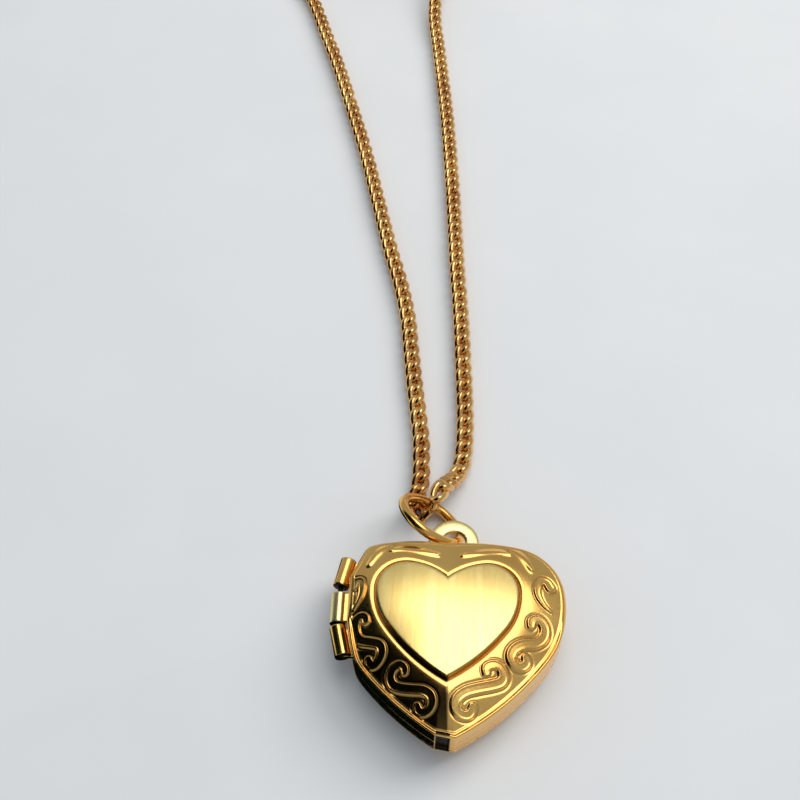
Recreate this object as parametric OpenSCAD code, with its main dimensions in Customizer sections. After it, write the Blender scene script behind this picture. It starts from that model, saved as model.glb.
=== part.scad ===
// Heart locket on a curb chain. Millimetres, +Z up.
// The locket lies on its back: the origin is the middle of the flat on its back half,
// +Y runs from the heart's tip to its notch, and +X is to the right.

/* [Locket] */
// Width of the heart across its lobes, which scales both outlines
heart_w = 20; // [19:0.25:21]
// Height of the parting line, where the two halves meet
seam_z = 2.95; // [2.9:0.05:3.1]
// Height of the side wall of each half
wall_h = 1.75; // [1.6:0.05:1.9]
// Thickness of the pressed sheet
sheet_t = 0.35; // [0.3:0.05:0.4]

/* [Hinge] */
// Outer radius of a hinge barrel
barrel_r = 0.7; // [0.66:0.02:0.72]
// Radius of the hinge pin
pin_r = 0.22; // [0.2:0.01:0.24]
// Radial gap between the pin and the barrel that turns on it
pin_gap = 0.04; // [0.03:0.01:0.06]

/* [Jump ring] */
// Radius of the ring's wire centre line
ring_r = 3.05; // [3:0.05:3.05]
// Radius of the ring's wire
ring_wire_r = 0.45; // [0.42:0.01:0.46]
// Tilt of the ring from lying flat
ring_tilt = 44; // [43:0.5:44]

/* [Chain] */
// Width of the chain
chain_d = 1.7; // [1.6:0.05:1.75]

/* [Clasp] */
// Radius of the clasp's tube centre line
clasp_r = 1.95; // [1.9:0.05:2]
// Outer radius of the clasp's tube
clasp_tube_r = 0.55; // [0.53:0.01:0.57]
// Radius of the drilled hole in the end tag
tag_hole_r = 0.6; // [0.55:0.05:0.65]

/* [Hidden] */
$fn = 48;
half_w = heart_w / 2;
notch_y = 8.65;

// The outer outline's right half, from notch to tip, as arcs of a unit heart:
// [radius, outward angle at the start, outward angle at the end, steps].
OUTER_ARCS = [[1.76, 97.6, 77.9, 6], [0.482, 77.9, 7, 8], [0.898, 7, -37.3, 9], [2.55, -37.3, 0, 9]];
// The same for the raised heart in the middle.
INNER_ARCS = [[0.6, 131, 97.8, 6], [0.264, 97.8, 2, 8], [0.574, 2, -38, 9], [1.53, -38, 0, 9]];
// How far the raised heart's notch lies below the outer notch, and how far off the middle the heart is pressed
inner_drop = 3.83;
inner_x = -0.2;
// The blunt tip: where it cuts the middle line, and its slope
tip_y = -8.69;
tip_slope = 0.16;
// The thumbnail notch beside the tip: its middle, width, depth and its ends along Z
nail_x = -0.35;
nail_w = 1.06;
nail_depth = 0.25;
nail_ends = [1.75, 4.4];

// Heights of the closed case
front_edge_z = seam_z + wall_h;
back_edge_z = seam_z - wall_h;
crest_z = front_edge_z + 0.82;
groove_z = crest_z - 0.12;
dome_z = front_edge_z + 1.4;
wall_in = sheet_t + 0.05;

// The snap rim: its gap to the front half, its inner side, and how far it stands above and below the seam
rim_gap = 0.1;
rim_in = wall_in + 0.4;
rim_rise = 0.55;
rim_sink = 1;

// Picture frames, windows and cards: how far in from the outline, how high and how thick
frame_in = 2.3;
sheet_in = 1.3;
frame_t = 0.3;
window_t = 0.2;
card_t = 0.15;
back_frame_z = seam_z - 0.7;
front_frame_z = seam_z + 0.7;

// The hinge: the pin's line, the barrels' ends along it, and how far the outer barrels lean in
pin_x = -0.94 * half_w;
middle_ends = [1.33, 4.15];
upper_ends = [4.85, 7.45];
lower_ends = [-1.6, 1.1];
upper_lean = 0.56;
lower_lean = 0.66;
pin_ends = [-0.5, 6.4];
// The case's edge behind the upper barrel leans in from here, by this much for each mm along Y
edge_lean_from = 5.1;
edge_lean = 0.46;
case_gap = 0.12;
leaf_t = 0.4;
leaf_gap = 0.1;
leaf_in = 0.1;
leaf_reach = 2.2;

// The eyelet at the notch
eyelet_pos = [0.36, notch_y + 1.2];
eyelet_r = 2.25;
eyelet_hole_r = 1;
eyelet_t = 0.5;
eyelet_in = 0.1;
eyelet_top = seam_z - 0.1;

// The jump ring hangs through the eyelet's hole and falls away towards the angle ring_fall
ring_fall = 41;
ring_pos = [
    eyelet_pos[0] - ring_r * sin(ring_fall), eyelet_pos[1] + ring_r * cos(ring_fall), eyelet_top - eyelet_t / 2
];

// The chain's middle link, which sits in the jump ring
link_pos = [-1.85, 13.6, 2.1];
link_roll = 0;
link_pitch = -66;
link_turn = -14;

// The chain. Each run starts at the centre link and ends where its coil takes over.
chain_r = chain_d / 2;
low = chain_r;
high = low + chain_d;
LEFT_RUN = [
    [-2.6, 13.3, low], [-4, 14.5, low], [-3.75, 16.1, low], [-3.3, 17.9, low], [-3, 20, low], [-2.9, 22, low],
    [-3.2, 25, low], [-3.7, 28.9, low], [-4.2, 33.4, low], [-4.7, 37.9, low], [-5.7, 42.9, low], [-7, 47.9, low],
    [-8.7, 55.4, low], [-10.5, 63.3, low], [-12.6, 71.3, low], [-14.8, 79.3, low], [-17.1, 86.7, low],
    [-19.5, 94.2, low], [-22.1, 99.2, low], [-23.2, 104, low]
];
RIGHT_RUN = [
    [-1.3, 13.9, 3.5], [-0.7, 15.3, 3.2], [0.1, 16.8, 1.9], [0.9, 18.6, 1], [1.3, 21, low], [1.4, 25, low],
    [1.2, 31, low], [0.9, 38, low], [0.4, 46, low], [-0.1, 56, low], [-0.6, 64.5, low], [-1.1, 71.5, low],
    [-1.7, 78, low], [-2.3, 84.5, low], [-2.9, 90, 1.2], [-2.8, 95, 1.9], [-2.1, 99.5, high], [-1.8, 104, high]
];

// The two coils lie one on the other: the left half's turns below, the right half's above
coil_pos = [-12.7, 110.3];
coil_mean_r = 8.8;
left_turns = 2;
right_turns = 2.5;
left_end_r = coil_mean_r - left_turns / 2 * chain_d;
right_end_r = coil_mean_r - right_turns / 2 * chain_d;
tail_r = 3.6;
left_tail_sweep = 120;
right_tail_sweep = 110;

// The clasp lies flat inside the coils. Its angles are counted from its loop.
clasp_pos = [coil_pos[0] + 2.7, coil_pos[1] + 1.5, clasp_tube_r];
clasp_turn = 164;
clasp_bore_r = 0.36;
bolt_r = 0.31;
stub_a = 15;
gap_from = 275;
gap_to = 345;
bolt_tail_a = 60;
bolt_nose_a = 6;
bolt_travel_a = 62;
spring_from = 60;
lug_at = 250;
lug_a = 8;
lug_half_t = 0.14;
loop_r = 0.72;
loop_wire_r = 0.17;
loop_at = clasp_r + clasp_tube_r + loop_r;

// The small upright rings that join the chain's ends to the clasp and the tag
small_ring_r = 0.65;
small_wire_r = 0.15;
small_z = small_ring_r + small_wire_r;
clasp_link_x = loop_at + loop_r + 0.03;

// The end tag, a plain plate with a round hole for the clasp and a small one for its ring
tag_pos = [coil_pos[0] + 1.2, coil_pos[1] - 3.7];
tag_turn = -6;
tag_l = 3.8;
tag_w = 2.2;
tag_t = 0.4;
tag_z = 0.45;
tag_hole_x = 0.85;
tag_link_x = -1.2;
tag_link_hole_r = 0.35;

// ---- Outlines ----

function unit(a) = [cos(a), sin(a)];

// Centre of arc number i, when the arcs follow each other from the point [0, 0]
function arc_centre(arcs, i) =
    i == 0 ? -arcs[0][0] * unit(arcs[0][1])
           : arc_centre(arcs, i - 1) + (arcs[i - 1][0] - arcs[i][0]) * unit(arcs[i][1]);

// The angle at which an arc, drawn in by d, comes back to the middle line
function end_angle(arcs, i, d) = -acos(-arc_centre(arcs, i)[0] / (arcs[i][0] - d));

// The right half of a unit heart, drawn in by d
function half_heart(arcs, d) = [
    for (i = [0 : len(arcs) - 1])
        let (a = arcs[i], c = arc_centre(arcs, i),
             last = i == len(arcs) - 1 ? end_angle(arcs, i, d) : a[2])
            for (k = [(i == 0 ? 0 : 1) : a[3]])
                let (p = c + (a[0] - d) * unit(a[1] + (last - a[1]) * k / a[3]))
                    [i == 0 && k == 0 ? 0 : max(p[0], 0), p[1]]
];

// The whole heart in mm, from the notch round by the right lobe and the tip
function heart(arcs, d, drop) =
    let (right = half_heart(arcs, d / half_w), n = len(right))
        [for (p = right) [p[0] * half_w, p[1] * half_w + notch_y - drop],
         for (k = [n - 2 : -1 : 1]) [-right[k][0] * half_w, right[k][1] * half_w + notch_y - drop]];

// How far the case's left edge lies inside its line behind the middle barrel, at this y
function edge_lean_at(y) =
    y > edge_lean_from ? edge_lean * (y - edge_lean_from)
  : y < lower_ends[1] ? lower_lean * (lower_ends[1] - y) / (lower_ends[1] - lower_ends[0]) : 0;

// The case steps in behind the hinge, and its tip is blunt
function hinge_side(p, d) =
    p[0] < 0 ? [max(p[0], pin_x + barrel_r + case_gap + edge_lean_at(p[1]) + d), p[1]] : p;
function blunt(p, d) = [p[0], max(p[1], tip_y - tip_slope * p[0] + d)];

function outer_ring(d) = [for (p = heart(OUTER_ARCS, d, 0)) blunt(hinge_side(p, d), d)];
function inner_ring(d) = [for (p = heart(INNER_ARCS, d, inner_drop)) [p[0] + inner_x, p[1]]];
function mix(a, b, t) = [for (i = [0 : len(a) - 1]) a[i] * (1 - t) + b[i] * t];
function shrink(ring, s) =
    let (c = [inner_x, notch_y - inner_drop - 0.35 * half_w]) [for (p = ring) c + (p - c) * s];
function at(ring, z) = [for (p = ring) [p[0], p[1], z]];

// The middle of a ring's points
function middle(ring) = let (n = len(ring)) [for (k = [0 : 2]) [for (p = ring) p[k]] * [for (p = ring) 1] / n];

// A closed solid from rings of equal length, with a fan over the first ring and over the last
module loft(rings, flip = false) {
    n = len(rings[0]);
    m = len(rings);
    points = [for (ring = rings) each ring, middle(rings[0]), middle(rings[m - 1])];
    sides = [for (j = [0 : m - 2]) for (i = [0 : n - 1])
        let (a = j * n + i, b = j * n + (i + 1) % n) each [[a, b, b + n], [a, b + n, a + n]]];
    first = [for (i = [0 : n - 1]) [m * n, (i + 1) % n, i]];
    last = [for (i = [0 : n - 1]) [m * n + 1, (m - 1) * n + i, (m - 1) * n + (i + 1) % n]];
    faces = concat(sides, first, last);
    polyhedron(points, flip ? [for (f = faces) [f[2], f[1], f[0]]] : faces);
}

// A closed band from rings of equal length, whose last ring joins its first
module band(rings) {
    n = len(rings[0]);
    m = len(rings);
    polyhedron([for (ring = rings) each ring], [for (j = [0 : m - 1]) for (i = [0 : n - 1])
        let (k = (i + 1) % n, a = j * n + i, b = j * n + k, c = (j + 1) % m * n + i, e = (j + 1) % m * n + k)
            each [[a, b, e], [a, e, c]]]);
}

// ---- Case ----

// The thumbnail notch, cut into the wall of both halves
module nail_notch() {
    translate([nail_x - nail_w / 2, tip_y - 1, nail_ends[0]])
        cube([nail_w, 1 + nail_depth - tip_slope * nail_x, nail_ends[1] - nail_ends[0]]);
}

// Each half is one loft: its inside from the middle to the parting line, then its outside back
module front_shell() {
    inside = [
        at(shrink(inner_ring(0.7), 0.35), dome_z - sheet_t),
        at(shrink(inner_ring(0.7), 0.7), dome_z - 0.15 - sheet_t),
        at(inner_ring(0.3), groove_z - 0.05 - sheet_t),
        at(outer_ring(wall_in + 0.35), front_edge_z - sheet_t),
        at(outer_ring(wall_in), front_edge_z - sheet_t - 0.3),
        at(outer_ring(wall_in), seam_z)
    ];
    outside = [
        at(outer_ring(0), seam_z),
        at(outer_ring(0), front_edge_z - 0.3),
        at(outer_ring(-0.06), front_edge_z - 0.12),
        at(outer_ring(0.05), front_edge_z + 0.02),
        at(outer_ring(0.4), front_edge_z - 0.05),
        at(mix(outer_ring(0.4), inner_ring(-0.5), 0.5), front_edge_z + 0.55),
        at(inner_ring(-0.5), crest_z),
        at(inner_ring(-0.2), crest_z),
        at(inner_ring(0), groove_z),
        at(inner_ring(0.35), groove_z + 0.3),
        at(shrink(inner_ring(0.7), 0.7), dome_z - 0.1),
        at(shrink(inner_ring(0.7), 0.35), dome_z)
    ];
    color("gold") difference() {
        loft(concat(inside, outside));
        nail_notch();
    }
}

module back_shell() {
    inside = [
        at(inner_ring(0.5), sheet_t),
        at(mix(outer_ring(0.8), inner_ring(0.3), 0.6), back_edge_z * 0.35 + sheet_t),
        at(outer_ring(wall_in + 0.5), back_edge_z + sheet_t),
        at(outer_ring(wall_in), back_edge_z + sheet_t + 0.45),
        at(outer_ring(wall_in), seam_z)
    ];
    outside = [
        at(outer_ring(0), seam_z),
        at(outer_ring(0), back_edge_z + 0.5),
        at(outer_ring(-0.03), back_edge_z + 0.35),
        at(outer_ring(0.15), back_edge_z + 0.1),
        at(outer_ring(0.5), back_edge_z - 0.15),
        at(mix(outer_ring(0.5), inner_ring(0.3), 0.6), back_edge_z * 0.3),
        at(inner_ring(0.3), 0)
    ];
    color("gold") difference() {
        loft(concat(inside, outside), flip = true);
        nail_notch();
    }
}

// The thin ring inside the back half that the front half snaps over
module snap_rim() {
    color("gold") band([
        at(outer_ring(wall_in), seam_z - rim_sink),
        at(outer_ring(wall_in), seam_z - 0.1),
        at(outer_ring(wall_in + rim_gap), seam_z),
        at(outer_ring(wall_in + rim_gap), seam_z + rim_rise),
        at(outer_ring(rim_in), seam_z + rim_rise),
        at(outer_ring(rim_in), seam_z - rim_sink)
    ]);
}

// A flat heart-shaped ring, for the frames
module flat_ring(outer_d, inner_d, z, t) {
    band([at(outer_ring(outer_d), z), at(outer_ring(outer_d), z + t),
          at(outer_ring(inner_d), z + t), at(outer_ring(inner_d), z)]);
}

// A flat heart, for the windows and cards
module flat_heart(d, z, t) {
    translate([0, 0, z]) linear_extrude(t) polygon(outer_ring(d));
}

module back_frame() {
    color("goldenrod") flat_ring(rim_in, frame_in, back_frame_z, frame_t);
}

module front_frame() {
    color("goldenrod") flat_ring(wall_in, frame_in, front_frame_z, frame_t);
}

module back_window() {
    color("lightcyan", 0.4) flat_heart(sheet_in, back_frame_z - window_t, window_t);
}

module front_window() {
    color("lightcyan", 0.4) flat_heart(sheet_in, front_frame_z + frame_t, window_t);
}

module back_card() {
    color("ivory") flat_heart(sheet_in, back_frame_z - window_t - card_t, card_t);
}

module front_card() {
    color("ivory") flat_heart(sheet_in, front_frame_z + frame_t + window_t, card_t);
}

// ---- Hinge ----

// A barrel on the pin's line from y0 to y1, leaning in towards the case by lean at y1, with its leaf.
// side is 1 for a leaf on the front half and -1 for one on the back half.
module barrel(y0, y1, lean, side, bore_r, bore_from, bore_to) {
    run = y1 - y0;
    slope = atan(lean / run);
    difference() {
        intersection() {
            translate([pin_x, y0, seam_z]) rotate([0, 0, -slope * sign(run)])
                rotate([-90 * sign(run), 0, 0]) translate([0, 0, -1]) union() {
                    cylinder(r = barrel_r, h = abs(run) + 1);
                    translate([0, side * sign(run) > 0 ? -leaf_gap - leaf_t : leaf_gap, 0])
                        cube([leaf_reach, leaf_t, abs(run) + 1]);
                }
            translate([pin_x - 2, min(y0, y1 - 1), seam_z - 2]) cube([5, abs(run) + 1, 4]);
        }
        translate([0, 0, seam_z - 2]) linear_extrude(4) polygon(outer_ring(leaf_in));
        translate([pin_x, bore_from, seam_z]) rotate([-90, 0, 0]) cylinder(r = bore_r, h = bore_to - bore_from);
    }
}

module knuckle_upper() {
    color("gold") barrel(upper_ends[0], upper_ends[1], upper_lean, -1, pin_r, upper_ends[0] - 1, pin_ends[1]);
}

// The lower barrel is hollow at its end
module knuckle_lower() {
    color("gold") difference() {
        barrel(lower_ends[1], lower_ends[0], lower_lean, -1, pin_r, pin_ends[0], lower_ends[1] + 1);
        translate([pin_x + lower_lean, lower_ends[0] - 0.5, seam_z]) rotate([-90, 0, 14])
            cylinder(r = barrel_r - 0.22, h = 1.1);
    }
}

module knuckle_middle() {
    color("gold") barrel(middle_ends[0], middle_ends[1], 0, 1, pin_r + pin_gap, middle_ends[0] - 1, middle_ends[1] + 1);
}

module hinge_pin() {
    color("silver") translate([pin_x, pin_ends[0], seam_z]) rotate([-90, 0, 0])
        cylinder(r = pin_r, h = pin_ends[1] - pin_ends[0]);
}

// ---- Eyelet, jump ring and centre link ----

// A flat ring that runs into the case's wall at the notch
module bail_eyelet() {
    color("khaki") translate([0, 0, eyelet_top - eyelet_t]) linear_extrude(eyelet_t) difference() {
        translate(eyelet_pos) circle(r = eyelet_r);
        translate(eyelet_pos) circle(r = eyelet_hole_r);
        polygon(outer_ring(eyelet_in));
    }
}

// A round wire ring of mean radius r, lying in its own XY plane
module wire_ring(r, wire_r) {
    rotate_extrude() translate([r, 0]) circle(r = wire_r);
}

module jump_ring() {
    color("gold") translate(ring_pos) rotate([0, ring_tilt, ring_fall]) wire_ring(ring_r, ring_wire_r);
}

// A long wire link: two half rings joined by straight sides
module long_link(half_l, end_r, wire_r) {
    for (s = [0, 180]) rotate([0, 0, s]) {
        translate([half_l, 0, 0]) rotate([0, 0, -90]) rotate_extrude(angle = 180) translate([end_r, 0]) circle(r = wire_r);
        translate([-half_l, end_r, 0]) rotate([0, 90, 0]) cylinder(r = wire_r, h = 2 * half_l);
    }
}

module centre_link() {
    color("gold") translate(link_pos) rotate([link_roll, link_pitch, link_turn]) long_link(0.45, 0.55, 0.27);
}

// ---- Chain ----

function along(points, i) =
    let (a = points[max(i - 1, 0)], b = points[min(i + 1, len(points) - 1)]) (b - a) / norm(b - a);

// One ring of the cord's plain tube, square to its route at point i
function tube_ring(points, i) =
    let (t = along(points, i), s = cross(t, [0, 0, 1]) / norm(cross(t, [0, 0, 1])), u = cross(s, t))
        [for (k = [0 : 7]) points[i] + chain_r * (cos(45 * k) * s + sin(45 * k) * u)];

module cord_tube(points) {
    color("gold") loft([for (i = [0 : len(points) - 1]) tube_ring(points, i)]);
}

// The outer shape of a coil's turns: n turns side by side, each chain_d wide, standing on z
module coil_ring(n, z) {
    color("gold") translate([coil_pos[0], coil_pos[1], z]) rotate_extrude()
        translate([coil_mean_r - (n + 1) * chain_r, 0]) square([(n + 1) * chain_d, chain_d]);
}

// A coil's last stretch, which curls into its hole: from angle a to angle b about its own middle
function tail(end_r, a, b, z_a, z_b) = [
    for (k = [0 : 3])
        let (q = a + (b - a) * k / 3)
            [coil_pos[0] - end_r + tail_r + tail_r * cos(q), coil_pos[1] + tail_r * sin(q), z_a + (z_b - z_a) * k / 3]
];

// ---- Clasp and tag ----

module arc_tube(r, from, to) {
    rotate([0, 0, from]) rotate_extrude(angle = to - from) translate([clasp_r, 0]) circle(r = r);
}

module arc_slab(r0, r1, half_t, from, to) {
    rotate([0, 0, from]) rotate_extrude(angle = to - from) translate([r0, -half_t]) square([r1 - r0, 2 * half_t]);
}

module on_clasp() {
    translate(clasp_pos) rotate([0, 0, clasp_turn]) children();
}

module clasp_case() {
    color("gold") on_clasp() difference() {
        arc_tube(clasp_tube_r, -stub_a, gap_from);
        arc_tube(clasp_bore_r, spring_from, gap_from + 1);
        arc_tube(clasp_bore_r, gap_to - 1 - 360, gap_to + bolt_nose_a + 2 - 360);
        arc_slab(clasp_r, clasp_r + 1, lug_half_t + 0.06, lug_at - bolt_travel_a - lug_a, lug_at + lug_a);
    }
}

module clasp_bolt() {
    color("khaki") on_clasp() {
        arc_tube(bolt_r, gap_from - bolt_tail_a, gap_to + bolt_nose_a);
        arc_slab(clasp_r, clasp_r + 0.9, lug_half_t, lug_at - lug_a / 2, lug_at + lug_a / 2);
        arc_slab(clasp_r + 0.65, clasp_r + 0.95, 0.3, lug_at - lug_a, lug_at + lug_a);
    }
}

module clasp_spring() {
    color("silver") on_clasp() difference() {
        arc_tube(bolt_r - 0.03, spring_from, gap_from - bolt_tail_a);
        arc_tube(bolt_r - 0.14, spring_from - 1, gap_from - bolt_tail_a + 1);
    }
}

module clasp_loop() {
    color("gold") on_clasp() translate([loop_at, 0, 0]) wire_ring(loop_r, loop_wire_r);
}

// A small ring standing upright, in line with the X axis
module upright_ring() {
    rotate([90, 0, 0]) wire_ring(small_ring_r, small_wire_r);
}

module clasp_link() {
    color("gold") on_clasp() translate([clasp_link_x, 0, small_z - clasp_tube_r]) upright_ring();
}

module on_tag() {
    translate([tag_pos[0], tag_pos[1], tag_z]) rotate([0, 0, tag_turn]) children();
}

module tag_link() {
    color("gold") on_tag() translate([tag_link_x - small_ring_r, 0, small_z - tag_z]) upright_ring();
}

module end_tag() {
    end_x = (tag_l - tag_w) / 2;
    color("gold") on_tag() difference() {
        linear_extrude(tag_t) union() {
            for (s = [-1, 1]) translate([s * end_x, 0]) circle(d = tag_w);
            square([2 * end_x, tag_w], center = true);
        }
        translate([tag_hole_x, 0, -1]) cylinder(r = tag_hole_r, h = 3);
        translate([tag_link_x, 0, -1]) cylinder(r = tag_link_hole_r, h = 3);
    }
}

back_shell();
front_shell();
snap_rim();
back_frame();
front_frame();
back_window();
front_window();
back_card();
front_card();
knuckle_upper();
knuckle_lower();
knuckle_middle();
hinge_pin();
bail_eyelet();
jump_ring();
centre_link();
cord_tube(LEFT_RUN);  // chain_left_run
coil_ring(left_turns, 0);  // chain_left_coil
cord_tube(tail(left_end_r, 95, 180 - left_tail_sweep, low, low));  // chain_left_tail
cord_tube(RIGHT_RUN);  // chain_right_run
coil_ring(right_turns, chain_d);  // chain_right_coil
cord_tube(tail(right_end_r, 255, 180 + right_tail_sweep, 1.6, low));  // chain_right_tail
clasp_case();
clasp_bolt();
clasp_spring();
clasp_loop();
clasp_link();
tag_link();
end_tag();
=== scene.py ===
"""A gold heart locket on a curb chain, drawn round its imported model.

Shapes are worked out in mm and turned into metres by MM. Lights, cards and the floor are placed in metres.
"""

import math
import random

import bmesh
import bpy
import numpy as np
from mathutils import Matrix, Vector


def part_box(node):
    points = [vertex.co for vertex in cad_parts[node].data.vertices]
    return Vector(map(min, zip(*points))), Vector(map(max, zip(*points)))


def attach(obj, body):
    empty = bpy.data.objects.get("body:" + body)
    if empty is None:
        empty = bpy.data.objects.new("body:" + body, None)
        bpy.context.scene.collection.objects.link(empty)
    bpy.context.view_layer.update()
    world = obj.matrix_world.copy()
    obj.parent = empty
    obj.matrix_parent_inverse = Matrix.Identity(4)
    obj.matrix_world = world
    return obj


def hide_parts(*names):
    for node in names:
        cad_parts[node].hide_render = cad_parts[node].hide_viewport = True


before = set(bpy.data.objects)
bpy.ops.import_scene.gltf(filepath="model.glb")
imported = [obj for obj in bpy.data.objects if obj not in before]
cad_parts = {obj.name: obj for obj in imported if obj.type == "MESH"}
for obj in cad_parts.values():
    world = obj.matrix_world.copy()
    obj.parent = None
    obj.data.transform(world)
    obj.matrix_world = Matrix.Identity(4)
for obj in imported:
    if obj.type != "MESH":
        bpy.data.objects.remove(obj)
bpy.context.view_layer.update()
MM = 0.001


def box_mm(node):
    """The lowest and highest corners of a node, in mm."""
    low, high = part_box(node)
    return np.array(low) / MM, np.array(high) / MM


# ---- Sizes in mm, some from the imported model ----

FRONT_LOW, FRONT_HIGH = box_mm("front_shell")
HALF_W = 10.0
NOTCH_Y = 8.65
SEAM_Z = float(FRONT_LOW[2])
TOP_Z = float(FRONT_HIGH[2])
WALL_H = 1.75
SHEET_T = 0.35
FRONT_EDGE_Z = SEAM_Z + WALL_H
BACK_EDGE_Z = SEAM_Z - WALL_H
CHAIN_D = 1.7
LOW = CHAIN_D / 2
HIGH = LOW + CHAIN_D

# The heart's outlines as arcs of a unit heart, from notch to tip: radius, and outward angles at its ends.
OUTER_ARCS = ((1.76, 97.6, 77.9), (0.482, 77.9, 7), (0.898, 7, -37.3), (2.55, -37.3, -60))
INNER_ARCS = ((0.6, 131, 97.8), (0.264, 97.8, 2), (0.574, 2, -38), (1.53, -38, -60))
INNER_DROP = 3.83
INNER_X = -0.2
INNER_STRETCH = 1.06
# The blunt tip: where it cuts the middle line, and its slope.
TIP_Y = -8.69
TIP_SLOPE = 0.16
ARC_STEPS = (58, 62, 82, 98)

# The hinge: the pin's line, its barrels' ends along Y, and how far the outer two lean in.
PIN_X = -9.4
BARREL_R = 0.7
BARREL_EDGE = 0.07
CASE_GAP = 0.12
MIDDLE_ENDS = (1.33, 4.15)
UPPER_ENDS = (4.85, 7.45)
LOWER_ENDS = (-1.6, 1.1)
UPPER_LEAN = 0.56
LOWER_LEAN = 0.66
# The case's edge behind the upper barrel leans in from this height, by this much for each mm along Y.
EDGE_LEAN_FROM = 5.1
EDGE_LEAN = 0.46
# How softly the outline turns into that edge, and how many times that far from it the softening ends.
HINGE_BLEND = 0.16
BLEND_ENDS = 6


# ---- Camera ----

LENS_MM = 51.4
SENSOR_MM = 36.0
ELEVATION = math.radians(53)
LEAN = math.radians(2.22)
CAMERA_MM = (-2.451, -41.516, 91.76)


def add_camera():
    data = bpy.data.cameras.new("camera")
    data.lens = LENS_MM
    data.sensor_width = SENSOR_MM
    data.clip_start = 0.005
    data.clip_end = 10
    camera = bpy.data.objects.new("camera", data)
    level = math.cos(ELEVATION)
    look = Vector((-math.sin(LEAN) * level, math.cos(LEAN) * level, -math.sin(ELEVATION)))
    camera.rotation_euler = look.to_track_quat("-Z", "Y").to_euler()
    camera.location = Vector(CAMERA_MM) * MM
    bpy.context.scene.collection.objects.link(camera)
    bpy.context.scene.camera = camera


# ---- Mesh helpers ----


def mesh_object(name, points_mm, faces, smooth=True):
    mesh = bpy.data.meshes.new(name)
    mesh.from_pydata((np.asarray(points_mm) * MM).tolist(), [], faces)
    mesh.update()
    for poly in mesh.polygons:
        poly.use_smooth = smooth
    obj = bpy.data.objects.new(name, mesh)
    bpy.context.scene.collection.objects.link(obj)
    return obj


def face_outwards(obj):
    bm = bmesh.new()
    bm.from_mesh(obj.data)
    bmesh.ops.recalc_face_normals(bm, faces=bm.faces)
    bm.to_mesh(obj.data)
    bm.free()


def ring_faces(rings, size, closed=False, start=0):
    """The four-sided faces between rings of points that follow each other."""
    faces = []
    for j in range(rings if closed else rings - 1):
        a = start + j * size
        b = start + (j + 1) % rings * size
        faces += [(a + i, a + (i + 1) % size, b + (i + 1) % size, b + i) for i in range(size)]
    return faces


def loft(name, rings):
    """A closed solid from rings of equal length, with a fan over the first and the last."""
    size = len(rings[0])
    points = np.vstack(rings + [rings[0].mean(axis=0)[None], rings[-1].mean(axis=0)[None]])
    faces = ring_faces(len(rings), size)
    first = len(rings) * size
    last_ring = first - size
    faces += [(first, (i + 1) % size, i) for i in range(size)]
    faces += [(first + 1, last_ring + i, last_ring + (i + 1) % size) for i in range(size)]
    obj = mesh_object(name, points, faces)
    face_outwards(obj)
    return obj


def band(name, rings):
    """A closed band from rings of equal length, whose last ring joins its first."""
    obj = mesh_object(name, np.vstack(rings), ring_faces(len(rings), len(rings[0]), closed=True))
    face_outwards(obj)
    return obj


def wire_loop(name, centreline, radius, sides=16):
    """A closed wire of a round section along a flat closed line of points."""
    n = len(centreline)
    middle = centreline.mean(axis=0)
    flat = np.cross(centreline[0] - middle, centreline[n // 4] - middle)
    flat /= np.linalg.norm(flat)
    rings = []
    for i in range(n):
        along = centreline[(i + 1) % n] - centreline[i - 1]
        out = np.cross(along / np.linalg.norm(along), flat)
        turns = np.linspace(0, 2 * math.pi, sides, endpoint=False)[:, None]
        rings.append(centreline[i] + radius * (np.cos(turns) * out + np.sin(turns) * flat))
    return band(name, rings)


def turned(profile, axis_from, axis_to, sides=48):
    """Rings of a lathe-turned piece. The profile is (distance along the axis, radius) pairs."""
    a = np.array(axis_from, float)
    t = np.array(axis_to, float) - a
    t /= np.linalg.norm(t)
    s = np.cross(t, (0, 0, 1))
    s /= np.linalg.norm(s)
    u = np.cross(s, t)
    turns = np.linspace(0, 2 * math.pi, sides, endpoint=False)[:, None]
    return [a + d * t + r * (np.cos(turns) * s + np.sin(turns) * u) for d, r in profile]


# ---- Chain ----

# The chain's route in mm: each run starts at the centre link and ends at its coil.
LEFT_RUN = (
    (-2.6, 13.6, 0.75), (-3.2, 14.6, 0.7), (-3.1, 15.6, 0.75), (-2.85, 16.7, LOW), (-2.75, 18.2, LOW),
    (-2.8, 20, LOW), (-2.85, 22, LOW), (-3.2, 25, LOW), (-3.7, 28.9, LOW), (-4.2, 33.4, LOW),
    (-4.7, 37.9, LOW), (-5.7, 42.9, LOW), (-7, 47.9, LOW), (-8.7, 55.4, LOW), (-10.5, 63.3, LOW),
    (-12.6, 71.3, LOW), (-14.8, 79.3, LOW), (-17.1, 86.7, LOW), (-19.5, 94.2, LOW), (-22.1, 99.2, LOW),
    (-23.2, 104, LOW),
)
RIGHT_RUN = (
    (-1.3, 13.9, 3.5), (-0.7, 15.3, 3.2), (0.1, 16.8, 1.9), (0.9, 18.6, 1), (1.3, 21, LOW), (1.4, 25, LOW),
    (1.2, 31, LOW), (0.9, 38, LOW), (0.4, 46, LOW), (-0.1, 56, LOW), (-0.6, 64.5, LOW), (-1.1, 71.5, LOW),
    (-1.7, 78, LOW), (-2.3, 84.5, LOW), (-2.9, 90, 1.2), (-2.8, 95, 1.9), (-2.1, 99.5, HIGH),
    (-1.8, 104, HIGH),
)
COIL_MM = (-12.7, 110.3)
COIL_MEAN_R = 8.8
LEFT_TURNS = 2.0
RIGHT_TURNS = 2.5
COIL_STEPS = 40
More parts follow.
